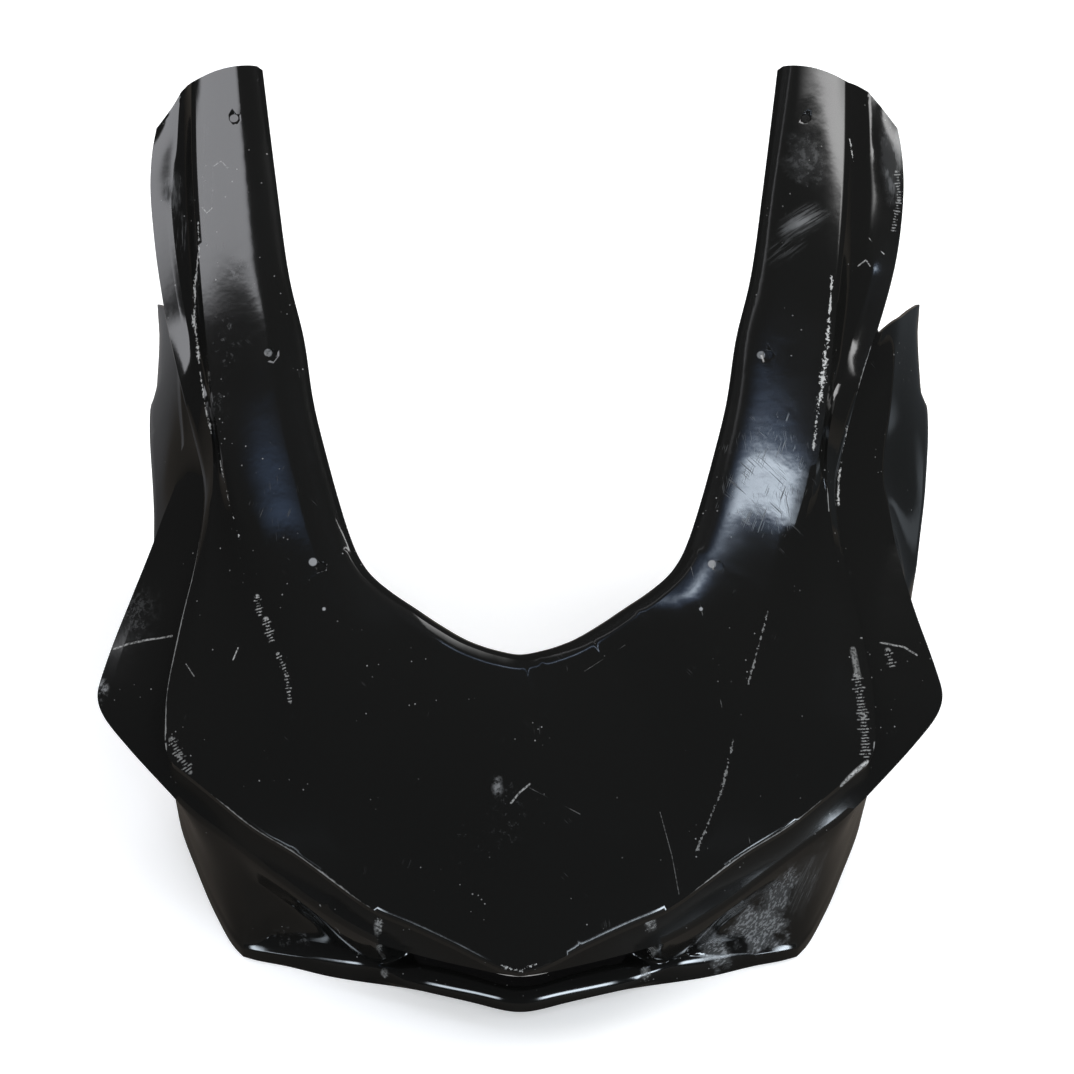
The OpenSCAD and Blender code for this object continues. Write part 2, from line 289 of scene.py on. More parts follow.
@dataclass(frozen=True)
class Window:
    """One soft-edged rectangular light, such as a window or a light card.

    The light lies in its own XY plane and shines along its -Z axis. Lengths are in metres.
    """

    name: str
    place: tuple[float, float, float]
    half: tuple[float, float]
    soft: tuple[float, float]
    radiance: float
    colour: Colour = (1.0, 1.0, 1.0)
    turn: tuple[float, float, float] = (0.0, 0.0, 0.0)

    def build(self) -> bpy.types.Object:
        """Builds the light as a glowing sheet that the camera doesn't see, and returns it."""
        mesh = bmesh.new()
        bmesh.ops.create_grid(mesh, x_segments=1, y_segments=1, size=1.0)
        reach = [half + soft for half, soft in zip(self.half, self.soft)]
        bmesh.ops.scale(mesh, verts=mesh.verts, vec=(reach[0], reach[1], 1.0))
        bmesh.ops.reverse_faces(mesh, faces=mesh.faces)
        data = bpy.data.meshes.new(self.name)
        mesh.to_mesh(data)
        mesh.free()
        sheet = bpy.data.objects.new(self.name, data)
        sheet.location = self.place
        sheet.rotation_euler = self.turn
        sheet.visible_camera = False
        sheet.visible_shadow = False
        sheet.visible_diffuse = self.radiance > 5.0
        bpy.context.scene.collection.objects.link(sheet)
        data.materials.append(self._glow())
        return sheet

    def _glow(self) -> bpy.types.Material:
        """Builds the glow, which fades to clear towards the sheet's borders."""
        material = bpy.data.materials.new(self.name)
        material.use_nodes = True
        graph = Graph(material.node_tree)
        material.node_tree.nodes.remove(material.node_tree.nodes["Principled BSDF"])
        sides = graph.add("ShaderNodeSeparateXYZ")
        graph.feed(sides.inputs[0], graph.place())
        level = 1.0
        for axis in (0, 1):
            away = graph.math("ABSOLUTE", sides.outputs[axis])
            inner, outer = self.half[axis] - self.soft[axis], self.half[axis] + self.soft[axis]
            level = graph.math("MULTIPLY", graph.ease(away, inner, outer, 1.0, 0.0), level)
        glow = graph.add("ShaderNodeEmission")
        graph.feed(glow.inputs["Color"], self.colour)
        graph.feed(glow.inputs["Strength"], self.radiance)
        mix = graph.add("ShaderNodeMixShader")
        graph.feed(mix.inputs[0], level)
        graph.feed(mix.inputs[1], graph.add("ShaderNodeBsdfTransparent").outputs[0])
        graph.feed(mix.inputs[2], glow.outputs["Emission"])
        graph.feed(material.node_tree.nodes["Material Output"].inputs["Surface"], mix.outputs[0])
        return material


def new_group(
    name: str, inputs: dict[str, tuple[str, object]], outputs: dict[str, str]
) -> tuple[Graph, bpy.types.Node, bpy.types.Node]:
    """Starts a shader node group.

    Args:
        name: the group's name.
        inputs: each input's socket type and default value.
        outputs: each output's socket type.

    Returns:
        The graph to draw in, the group's input node and its output node.
    """
    tree = bpy.data.node_groups.new(name, "ShaderNodeTree")
    for key, (kind, value) in inputs.items():
        socket = tree.interface.new_socket(key, in_out="INPUT", socket_type=kind)
        socket.default_value = value
    for key, kind in outputs.items():
        tree.interface.new_socket(key, in_out="OUTPUT", socket_type=kind)
    graph = Graph(tree)
    return graph, graph.add("NodeGroupInput"), graph.add("NodeGroupOutput")


def shared(name: str, build: Callable[[], bpy.types.NodeTree]) -> bpy.types.NodeTree:
    """Returns the node group of that name, and builds it if it isn't there yet."""
    return bpy.data.node_groups.get(name) or build()


def stroke_group(kind: MarkKind) -> bpy.types.NodeTree:
    """Builds the group that draws one mark between two points.

    Args:
        kind: a fine scratch, ragged chips, or a comb of short ticks across the line.

    Returns:
        The node tree, whose output is 1 on the mark and 0 off it.
    """
    vector, number = "NodeSocketVector", "NodeSocketFloat"
    graph, given, out = new_group(
        f"{kind.value}_mark",
        {
            "Place": (vector, (0.0, 0.0, 0.0)),
            "From": (vector, (0.0, 0.0, 0.0)),
            "To": (vector, (0.0, 0.0, 0.01)),
            "Width": (number, 0.001),
            "Grain": (number, 0.5),
            "Sway": (number, 0.5),
        },
        {"Mask": number},
    )
    position, width = given.outputs["Place"], given.outputs["Width"]
    line = graph.vector("SUBTRACT", given.outputs["To"], given.outputs["From"]).outputs["Vector"]
    here = graph.vector("SUBTRACT", position, given.outputs["From"]).outputs["Vector"]
    reach = graph.vector("DOT_PRODUCT", line, line).outputs["Value"]
    share = graph.vector("DOT_PRODUCT", here, line).outputs["Value"]
    share = graph.math("DIVIDE", share, reach, clamp=True)
    nearest = graph.add("ShaderNodeVectorMath", operation="SCALE")
    graph.feed(nearest.inputs[0], line)
    graph.feed(nearest.inputs["Scale"], share)
    away = graph.vector("DISTANCE", here, nearest.outputs["Vector"]).outputs["Value"]
    fade = graph.math("SUBTRACT", 1.0, graph.math("DIVIDE", away, width), clamp=True)
    if kind is MarkKind.SCRATCH:
        broken = graph.ease(given.outputs["Grain"], 0.4, 0.56, 0.2, 1.0)
        mask = graph.math("MULTIPLY", graph.ease(fade, 0.35, 0.75), broken)
    elif kind is MarkKind.CHIPS:
        level = graph.math("MULTIPLY", given.outputs["Grain"], 1.1)
        level = graph.math("ADD", level, graph.math("MULTIPLY", given.outputs["Sway"], 0.7))
        level = graph.math("ADD", level, graph.math("MULTIPLY", fade, 0.45))
        mask = graph.math("MULTIPLY", graph.ease(level, 1.24, 1.34), graph.ease(fade, 0.0, 0.15))
    else:
        run = graph.math("MULTIPLY", graph.math("SQRT", reach), share)
        wobble = graph.math("MULTIPLY", given.outputs["Sway"], 0.9)
        step = graph.math("ADD", graph.math("DIVIDE", run, TICK_STEP), wobble)
        swing = graph.math("ABSOLUTE", graph.math("SUBTRACT", graph.math("FRACT", step), 0.5))
        swing = graph.math("MULTIPLY", swing, 2.0)
        chance = graph.add("ShaderNodeTexWhiteNoise", noise_dimensions="1D")
        graph.feed(chance.inputs["W"], graph.math("FLOOR", step))
        edge = graph.math("MULTIPLY", chance.outputs["Value"], 0.6)
        tick = graph.ease(swing, 0.3, 0.55, 1.0, 0.0)
        mask = graph.math("MULTIPLY", tick, graph.ease(fade, edge, graph.math("ADD", edge, 0.3)))
        mask = graph.math("MULTIPLY", mask, graph.ease(given.outputs["Grain"], 0.4, 0.54))
    graph.feed(out.inputs["Mask"], graph.math("MULTIPLY", mask, 1.0, clamp=True))
    return graph.tree


def patch_group() -> bpy.types.NodeTree:
    """Builds the group that draws one ragged rubbed patch round a point.

    Returns:
        The node tree, whose output is 1 in the patch and 0 off it.
    """
    vector, number = "NodeSocketVector", "NodeSocketFloat"
    graph, given, out = new_group(
        "patch",
        {
            "Place": (vector, (0.0, 0.0, 0.0)),
            "Middle": (vector, (0.0, 0.0, 0.0)),
            "Reach": (vector, (0.01, 0.01, 0.01)),
            "Turn": (number, 0.0),
            "Grain": (number, 0.5),
            "Sway": (number, 0.5),
            "Inner": (number, 0.4),
            "Ragged": (number, 0.9),
            "Cut": (number, 0.42),
            "Least": (number, 0.0),
        },
        {"Mask": number},
    )
    here = graph.vector("SUBTRACT", given.outputs["Place"], given.outputs["Middle"]).outputs["Vector"]
    turned = graph.add("ShaderNodeVectorRotate", rotation_type="AXIS_ANGLE")
    graph.feed(turned.inputs["Vector"], here)
    graph.feed(turned.inputs["Axis"], (0.0, -math.sin(FACE_TILT), math.cos(FACE_TILT)))
    graph.feed(turned.inputs["Angle"], given.outputs["Turn"])
    local = turned.outputs["Vector"]
    local = graph.vector("DIVIDE", local, given.outputs["Reach"]).outputs["Vector"]
    radius = graph.vector("LENGTH", local).outputs["Value"]
    wobble = graph.math("SUBTRACT", given.outputs["Sway"], 0.5)
    radius = graph.math("ADD", radius, graph.math("MULTIPLY", wobble, given.outputs["Ragged"]))
    inside = graph.ease(radius, given.outputs["Inner"], 1.0, 1.0, 0.0)
    full = graph.math("ADD", given.outputs["Cut"], 0.2)
    cut = graph.ease(given.outputs["Grain"], given.outputs["Cut"], full)
    cut = graph.math("MAXIMUM", cut, given.outputs["Least"])
    graph.feed(out.inputs["Mask"], graph.math("MULTIPLY", inside, cut, clamp=True))
    return graph.tree


def worn_edge_group() -> bpy.types.NodeTree:
    """Builds the group that rubs the gloss off the edges that the shell marks as worn.

    Returns:
        The node tree, whose output is 1 where an edge is bare.
    """
    number = "NodeSocketFloat"
    graph, given, out = new_group("worn_edge", {"Amount": (number, 0.5)}, {"Mask": number})
    edge = graph.add("ShaderNodeAttribute", attribute_name="edge_wear").outputs["Fac"]
    fine = graph.math("SUBTRACT", graph.noise(graph.place(), 380.0, 3.0), 0.5)
    coarse = graph.math("SUBTRACT", graph.noise(graph.place(), 24.0, 2.0), 0.5)
    level = graph.math("ADD", edge, graph.math("MULTIPLY", fine, 0.35))
    level = graph.math("ADD", level, graph.math("MULTIPLY", coarse, 0.45))
    low = graph.math("SUBTRACT", 1.0, given.outputs["Amount"])
    graph.feed(out.inputs["Mask"], graph.ease(level, low, graph.math("ADD", low, 0.2)))
    return graph.tree


HAIR_RUNS = ((0.12, 1700.0, 60.0, 60.0), (-0.35, 1500.0, 50.0, 75.0), (0.8, 1600.0, 45.0, 66.0))


def dust_group() -> bpy.types.NodeTree:
    """Builds the group of fine specks and hair scratches of a handled surface.

    Each run of hairs has a turn, a fineness across and along it, and the scale of where it lies.

    Returns:
        The node tree, with a mask of specks and a mask of hair scratches.
    """
    number = "NodeSocketFloat"
    graph, given, out = new_group("dust", {"Scuffed": (number, 0.0)}, {"Specks": number, "Hairs": number})
    cells = graph.add("ShaderNodeTexVoronoi", feature="F1")
    graph.feed(cells.inputs["Vector"], graph.place())
    graph.feed(cells.inputs["Scale"], 190.0)
    small = graph.ease(cells.outputs["Distance"], 0.05, 0.12, 1.0, 0.0)
    rare = graph.ease(graph.noise(graph.place(), 30.0, 2.0), 0.55, 0.64)
    graph.feed(out.inputs["Specks"], graph.math("MULTIPLY", small, rare))
    scuffed = graph.math("MULTIPLY", given.outputs["Scuffed"], 0.28)
    hairs = None
    for turn, across, along, where in HAIR_RUNS:
        line = graph.noise(graph.place(across, along, turn), 1.0, 1.0)
        gate = graph.math("ADD", graph.noise(graph.place(), where, 1.0), scuffed)
        line = graph.math("MULTIPLY", graph.ease(line, 0.61, 0.69), graph.ease(gate, 0.72, 0.88))
        hairs = line if hairs is None else graph.math("MAXIMUM", hairs, line)
    graph.feed(out.inputs["Hairs"], hairs)
    return graph.tree


@dataclass(frozen=True)
class Mark:
    """One mark along photograph pixels on the visible skin: wear, and in a few marks a painted highlight."""

    name: str
    kind: MarkKind
    path: tuple[Pixel, ...]
    width_mm: float = 0.8
    strength: float = 1.0


@dataclass(frozen=True)
class Rub:
    """One rubbed patch, centred on a photograph pixel, plain or with streaks along its turn; one of them
    also paints a highlight.
    """

    name: str
    middle: Pixel
    reach_mm: tuple[float, float, float]
    strength: float = 1.0
    inner: float = 0.4
    turn: float = 0.0
    ragged: float = 0.9
    cut: float = 0.42
    least: float = 0.0
    streaks: tuple[float, float] | None = None


@dataclass(frozen=True)
class WornEdge:
    """A sharp edge that is rubbed through, along photograph pixels close to it."""

    name: str
    path: tuple[Pixel, ...]
    strength: float = 1.0
    near_mm: float = 5.5


@dataclass(frozen=True)
class Crown:
    """A very slight swelling of the skin, centred on a photograph pixel."""

    middle: Pixel
    reach_mm: float
    height_mm: float


CROWNS: tuple[Crown, ...] = (
    Crown((768, 478), 26.0, 0.42),
    Crown((281, 498), 26.0, 0.3),
)

SCRATCH, CHIPS, COMB = MarkKind.SCRATCH, MarkKind.CHIPS, MarkKind.COMB

MARKS: tuple[Mark, ...] = (
    Mark("left_crease_top", CHIPS, ((198, 222), (199, 252)), 1.4, 0.6),
    Mark("left_crease_high", CHIPS, ((198, 255), (195, 285), (194, 320), (199, 362)), 4.6),
    Mark("left_crease_low", CHIPS, ((200, 372), (206, 410), (222, 470), (240, 540)), 1.7, 0.9),
    Mark("left_curl", SCRATCH, ((202, 207), (207, 213), (212, 208)), 0.8, 0.5),
    Mark("left_swirl_a", SCRATCH, ((214, 166), (221, 161), (228, 168)), 0.8, 0.25),
    Mark("left_comb_a", COMB, ((257, 597), (260, 616)), 3.2, 0.6),
    Mark("left_comb_b", COMB, ((266, 620), (272, 642)), 3.8, 0.6),
    Mark("left_comb_c", COMB, ((278, 654), (287, 676), (290, 702)), 2.4, 0.5),
    Mark("left_corner_fan", COMB, ((172, 740), (180, 756), (190, 772)), 4.2, 0.35),
    Mark("left_tick", SCRATCH, ((238, 648), (233, 660)), 0.9, 0.7),
    Mark("left_tick_b", SCRATCH, ((186, 664), (194, 676)), 0.7, 0.35),
    Mark("right_crease_high", CHIPS, ((832, 276), (829, 322)), 2.0, 0.7),
    Mark("right_crease_low", CHIPS, ((829, 328), (824, 370), (817, 414)), 4.0, 0.8),
    Mark("right_crease_end", CHIPS, ((817, 416), (813, 450)), 2.2, 0.6),
    Mark("right_trail_high", CHIPS, ((768, 612), (748, 684)), 1.9, 0.3),
    Mark("right_trail_low", CHIPS, ((733, 741), (722, 790), (697, 850)), 2.2, 0.3),
    Mark("right_edge_chain", CHIPS, ((848, 425), (839, 480), (838, 505)), 2.4, 0.8),
    Mark("right_edge_comb", COMB, ((857, 676), (863, 716), (866, 758)), 5.0, 0.4),
    Mark("right_edge_band", SCRATCH, ((853, 650), (858, 676)), 4.2, 0.3),
    Mark("right_ear_comb", COMB, ((888, 651), (893, 668)), 4.0, 0.35),
    Mark("right_band_ticks", COMB, ((897, 172), (899, 200), (893, 232)), 2.6, 0.35),
    Mark("right_channel_tick", SCRATCH, ((869, 238), (884, 254)), 0.7, 0.6),
    Mark("right_channel_hook", SCRATCH, ((858, 266), (866, 260), (870, 266)), 0.9, 0.55),
    Mark("right_crease_nick", CHIPS, ((850, 140), (853, 160)), 2.0, 0.8),
    Mark("corner_chip", SCRATCH, ((842, 785), (854, 774), (867, 763)), 3.6, 0.85),
    # Painted highlight: the light line along the raised mould ridge over each ear, drawn as a scratch-like
    # mark instead of being shaped.
    Mark("left_ear_line", SCRATCH, ((114, 649), (128, 644), (146, 640), (172, 636)), 1.3, 0.5),
    Mark("right_ear_line", SCRATCH, ((861, 638), (883, 643), (904, 647), (917, 655)), 1.2, 0.45),
    Mark("middle_stroke", SCRATCH, ((511, 803), (520, 792), (530, 784)), 1.2, 0.55),
    Mark("middle_hair", SCRATCH, ((530, 788), (580, 814)), 0.5, 0.22),
    Mark("long_hair", SCRATCH, ((691, 567), (702, 612), (721, 703), (750, 843)), 0.5, 0.16),
    Mark("low_hair", SCRATCH, ((660, 812), (672, 856), (679, 894)), 0.5, 0.2),
    Mark("rim_hair", SCRATCH, ((585, 671), (625, 645)), 0.5, 0.18),
    # Worn edge and painted highlight: the light line along the bottom edge of the left headlight blank is
    # partly wear, partly a painted highlight.
    Mark("left_blank_edge", SCRATCH, ((320, 905), (338, 930), (357, 957)), 0.9, 0.5),
    Mark("left_cheek_film", SCRATCH, ((378, 924), (379, 945), (384, 974)), 5.0, 0.3),
    Mark("right_cheek_film", SCRATCH, ((650, 922), (652, 948), (646, 974)), 7.0, 0.3),
    Mark("left_cheek_band", CHIPS, ((379, 922), (380, 945), (385, 976)), 5.5, 0.45),
    Mark("right_cheek_band", CHIPS, ((650, 922), (650, 950), (645, 976)), 8.0, 0.5),
    Mark("tip_chips", CHIPS, ((502, 966), (520, 971), (536, 964)), 2.8, 0.7),
)

RUBS: tuple[Rub, ...] = (
    Rub("middle_smudge", (497, 787), (4.5, 8, 8), 0.5, 0.2),
    Rub("middle_dust", (508, 818), (14, 26, 22), 0.3, 0.1, cut=0.56),
    Rub("low_dust", (480, 850), (30, 40, 30), 0.22, 0.1, cut=0.6),
    Rub("right_arm_brush", (802, 222), (11, 24, 16), 0.34, 0.0, -1.0, 0.6, 0.4, 0.2, (700.0, 30.0)),
    Rub("right_arm_tail", (786, 246), (11, 20, 14), 0.14, 0.0, -0.9, 0.7, 0.44, streaks=(800.0, 40.0)),
    Rub("right_arm_smudge", (806, 160), (17, 24, 20), 0.12, 0.1, ragged=1.4, least=0.3),
    Rub("right_arm_band", (892, 150), (9, 44, 44), 0.22, least=0.3, streaks=(300.0, 60.0)),
    Rub("left_arm_lines", (206, 190), (6, 75, 50), 0.12, 0.1, cut=0.5, streaks=(700.0, 20.0)),
    Rub("left_arm_patch_a", (226, 340), (14, 34, 26), 0.2, 0.1, cut=0.54),
    Rub("left_arm_patch_b", (218, 398), (12, 14, 14), 0.2, 0.1, cut=0.54),
    Rub("left_arm_patch_c", (236, 268), (14, 12, 12), 0.16, 0.1, cut=0.5),
    Rub("left_channel_high", (173, 190), (8, 18, 20), 0.2, 0.3, 0.0, 1.2, least=0.3, streaks=(500.0, 60.0)),
    Rub("left_channel_low", (180, 236), (6, 18, 20), 0.22, 0.2, 0.0, 1.2, 0.5, streaks=(700.0, 60.0)),
    Rub("right_blank_low", (712, 944), (26, 10, 14), 0.8, 0.4, -1.0, 1.3, 0.44, 0.25, (800.0, 300.0)),
    Rub("right_blank_middle", (756, 926), (27, 19, 22), 0.85, 0.5, -0.7, 1.2, 0.42, 0.3, (800.0, 300.0)),
    Rub("right_blank_high", (779, 890), (12, 24, 30), 0.62, 0.4, -0.4, 1.2, 0.44, 0.25, (800.0, 240.0)),
    Rub("right_blank_streaks", (806, 880), (16, 26, 40), 0.16, 0.2, -0.4, 0.9, 0.44, 0.3, (900.0, 40.0)),
    # Scuff and painted highlight: the light patch on the left headlight blank is partly scuffing, partly a
    # painted highlight.
    Rub("left_blank_scuff", (296, 936), (18, 10, 12), 0.3, 0.2, cut=0.5),
    Rub("left_ear_rub", (103, 690), (4.5, 9, 9), 0.6, 0.3),
    Rub("left_ear_mottle", (135, 612), (22, 26, 26), 0.1, 0.1, cut=0.46),
    Rub("left_pip", (324, 609), (1.4, 1.4, 1.4), 0.8, 0.5, ragged=0.2, cut=0.1),
    Rub("right_pip", (701, 609), (1.4, 1.4, 1.4), 0.8, 0.5, ragged=0.2, cut=0.1),
    Rub("left_mark_middle", (268, 353), (2.9, 2.9, 2.9), 0.4, 0.7, ragged=0.2, cut=0.1),
    Rub("left_mark_front", (313, 562), (2.9, 2.9, 2.9), 0.7, 0.7, ragged=0.2, cut=0.1),
    Rub("right_mark_middle", (761, 355), (2.9, 2.9, 2.9), 0.4, 0.7, ragged=0.2, cut=0.1),
    Rub("right_mark_front", (712, 564), (2.9, 2.9, 2.9), 0.7, 0.7, ragged=0.2, cut=0.1),
)

SCUFFS: tuple[Rub, ...] = (
    Rub("right_scuffs", (765, 480), (44, 60, 60), inner=0.3, cut=0.1),
    Rub("left_scuffs", (275, 500), (30, 50, 50), 0.5, 0.2, cut=0.1),
)

LEFT_BROW = ((190, 342), (196, 400), (203, 477), (200, 530), (188, 596), (172, 670), (165, 735))
LEFT_BROW_LOW = ((166, 745), (200, 777), (238, 813), (308, 861), (374, 905), (436, 928), (508, 966))
RIGHT_BROW = ((868, 345), (845, 420), (829, 490), (833, 540), (845, 600), (858, 670), (869, 735))
RIGHT_BROW_LOW = ((874, 745), (840, 777), (802, 813), (732, 861), (666, 905), (604, 928), (532, 966))

WORN_EDGES: tuple[WornEdge, ...] = (
    WornEdge("left_brow", LEFT_BROW, 0.9),
    WornEdge("left_brow_low", LEFT_BROW_LOW, 0.95, 5.0),
    WornEdge("right_brow", RIGHT_BROW, 1.0),
    WornEdge("right_brow_low", RIGHT_BROW_LOW, 0.95, 5.0),
    WornEdge("left_ledge", ((180, 797), (251, 845), (333, 907)), 0.6),
    WornEdge("right_ledge", ((860, 797), (789, 845), (707, 907)), 0.7),
)


@dataclass(frozen=True)
class Zone:
    """A part of the gelcoat with its own material, which draws only the marks that touch it."""

    name: str
    view: PhotoView
    skin: BVHTree
    points: KDTree
    margin: float = 8.0 * MM

    def cast(self, pixel: Pixel) -> Vector | None:
        """Finds the point of the whole skin that a photograph pixel shows."""
        return cast(self.view, self.skin, pixel)

    def touches(self, middle: Vector, reach: float) -> bool:
        """Says whether something round a point comes near the zone."""
        return self.points.find(middle)[2] < reach + self.margin


@dataclass(frozen=True)
class Gelcoat:
    """Black gloss gelcoat with worn edges, scratches, rubs and dust, and a few painted highlights drawn as
    marks and rubs.
    """

    colour: Colour = (0.0062, 0.0062, 0.0058)
    bare: Colour = (0.46, 0.46, 0.45)
    edge_tone: float = 0.4
    rubbed: Colour = (0.26, 0.265, 0.27)
    roughness: float = 0.08
    worn_roughness: float = 0.55
    hair_tone: float = 0.14
    edge_amount: float = 0.4

    def build(self, zone: Zone) -> bpy.types.Material:
        """Builds the material of one zone.

        Args:
            zone: the part of the skin that wears it.

        Returns:
            The finished material.
        """
        material = bpy.data.materials.new(f"gelcoat_{zone.name}")
        material.use_nodes = True
        graph = Graph(material.node_tree)
        shader = material.node_tree.nodes["Principled BSDF"]
        fine = graph.noise(graph.place(), 620.0, 3.0, 0.65)
        coarse = graph.noise(graph.place(), 120.0, 3.0, 0.6)
        scuffs = self._rubs(graph, zone, SCUFFS, (fine, coarse))
        dust = graph.group(shared("dust", dust_group), Scuffed=scuffs)
        edges = graph.group(shared("worn_edge", worn_edge_group), Amount=self.edge_amount).outputs["Mask"]
        marks = self._marks(graph, zone, (fine, coarse))
        grain = graph.noise(graph.place(), 260.0, 5.0, 0.7)
        rubs = self._rubs(graph, zone, RUBS, (grain, coarse))
        hairs = dust.outputs["Hairs"]
        # The bare mask carries worn edges, marks and specks; through the marks it also carries the painted
        # highlights on the ear ridges and the left headlight blank, which get the bare grey.
        bare = graph.math("MAXIMUM", graph.math("MULTIPLY", edges, self.edge_tone), marks, clamp=True)
        bare = graph.math("MAXIMUM", bare, graph.math("MULTIPLY", dust.outputs["Specks"], 0.4), clamp=True)
        tone = graph.blend(graph.math("MULTIPLY", hairs, self.hair_tone), self.colour, self.rubbed)
        tone = graph.blend(rubs, tone, self.rubbed)
        tone = graph.blend(bare, tone, self.bare)
        graph.feed(shader.inputs["Base Color"], tone)
        smoothest, dullest = self.roughness - 0.02, self.roughness + 0.04
        haze = graph.ease(graph.noise(graph.place(), 9.0, 3.0), 0.35, 0.7, smoothest, dullest)
        worn = graph.math("MAXIMUM", bare, rubs, clamp=True)
        worn = graph.math("MAXIMUM", worn, graph.math("MULTIPLY", hairs, 0.35), clamp=True)
        rough = graph.math("ADD", haze, graph.math("MULTIPLY", worn, self.worn_roughness - self.roughness))
        graph.feed(shader.inputs["Roughness"], rough)
        shader.inputs["IOR"].default_value = 1.5
        peel = graph.math("MULTIPLY", graph.noise(graph.place(), 130.0, 2.0), 0.12)
        wave = graph.noise(graph.place(), 11.0, 1.0)
        height = graph.math("ADD", peel, wave)
        bump = graph.add("ShaderNodeBump")
        bump.inputs["Strength"].default_value = 0.12
        bump.inputs["Distance"].default_value = 0.002
        graph.feed(bump.inputs["Height"], height)
        graph.feed(shader.inputs["Normal"], bump.outputs["Normal"])
        return material

    def _marks(self, graph: Graph, zone: Zone, noise: tuple[object, object]) -> object:
        """Draws the marks that touch a zone, broken up by two noises, and returns their joint mask."""
        total, place = 0.0, graph.place()
        for mark in MARKS:
            tree = shared(f"{mark.kind.value}_mark", lambda kind=mark.kind: stroke_group(kind))
            width = mark.width_mm * MM
            points = [hit for hit in map(zone.cast, mark.path) if hit]
            LOG.debug("mark %s on %d points", mark.name, len(points))
            for start, end in zip(points, points[1:]):
                if not zone.touches((start + end) / 2, (end - start).length / 2 + width):
                    continue
                given = {"Place": place, "From": start, "To": end, "Width": width}
                stroke = graph.group(tree, **given, Grain=noise[0], Sway=noise[1])
                mask = graph.math("MULTIPLY", stroke.outputs["Mask"], mark.strength)
                total = graph.math("MAXIMUM", total, mask)
                place = graph.after(place, total)
        return total

    def _rubs(self, graph: Graph, zone: Zone, rubs: tuple[Rub, ...], noise: tuple[object, object]) -> object:
        """Draws the rubs that touch a zone, broken up by two noises, and returns their joint mask."""
        total, place = 0.0, graph.place()
        for rub in rubs:
            middle = zone.cast(rub.middle)
            if middle is None or not zone.touches(middle, max(rub.reach_mm) * MM * (1.0 + rub.ragged / 2)):
                continue
            LOG.debug("rub %s on gelcoat %s", rub.name, zone.name)
            grain = noise[0]
            if rub.streaks:
                grain = graph.noise(graph.place(*rub.streaks, rub.turn), 1.0, 3.0, 0.6)
            patch = graph.group(
                shared("patch", patch_group),
                Place=place,
                Middle=middle,
                Reach=tuple(value * MM for value in rub.reach_mm),
                Turn=-rub.turn,
                Grain=grain,
                Sway=noise[1],
                Inner=rub.inner,
                Ragged=rub.ragged,
                Cut=rub.cut,
                Least=rub.least,
            )
            mask = graph.math("MULTIPLY", patch.outputs["Mask"], rub.strength)
            total = graph.math("MAXIMUM", total, mask)
            place = graph.after(place, total)
        return total


@dataclass(frozen=True)
class BareLaminate:
    """The unfinished inner face: black resin over chopped glass strands."""

    colour: Colour = (0.030, 0.029, 0.027)
    strand: Colour = (0.085, 0.083, 0.075)
    roughness: float = 0.62
    strand_gloss: float = 0.15

    def build(self) -> bpy.types.Material:
        """Builds the material and returns it."""
        material = bpy.data.materials.new("bare_laminate")
        material.use_nodes = True
        graph = Graph(material.node_tree)
        shader = material.node_tree.nodes["Principled BSDF"]
        strands = None
        for turn in (0.2, 0.9, 1.7, 2.5):
            line = graph.noise(graph.place(420.0, 50.0, turn), 1.0, 2.0)
            line = graph.ease(line, 0.56, 0.68)
            strands = line if strands is None else graph.math("MAXIMUM", strands, line)
        graph.feed(shader.inputs["Base Color"], graph.blend(strands, self.colour, self.strand))
        gloss = graph.math("MULTIPLY", strands, self.strand_gloss)
        graph.feed(shader.inputs["Roughness"], graph.math("SUBTRACT", self.roughness, gloss))
        bump = graph.add("ShaderNodeBump")
        bump.inputs["Strength"].default_value = 0.6
        bump.inputs["Distance"].default_value = 0.0006
        graph.feed(bump.inputs["Height"], graph.math("ADD", strands, graph.noise(graph.place(), 60.0, 3.0)))
        graph.feed(shader.inputs["Normal"], bump.outputs["Normal"])
        return material


def cast(view: PhotoView, skin: BVHTree, pixel: Pixel) -> Vector | None:
    """Finds the point of the shell that a photograph pixel shows.

    Args:
        view: the camera.
        skin: the shell.
        pixel: column and row in the photograph.

    Returns:
        The point, or None where the pixel shows no shell.
    """
    place, _normal, _index, _far = skin.ray_cast(view.eye(), view.ray(pixel))
    return place


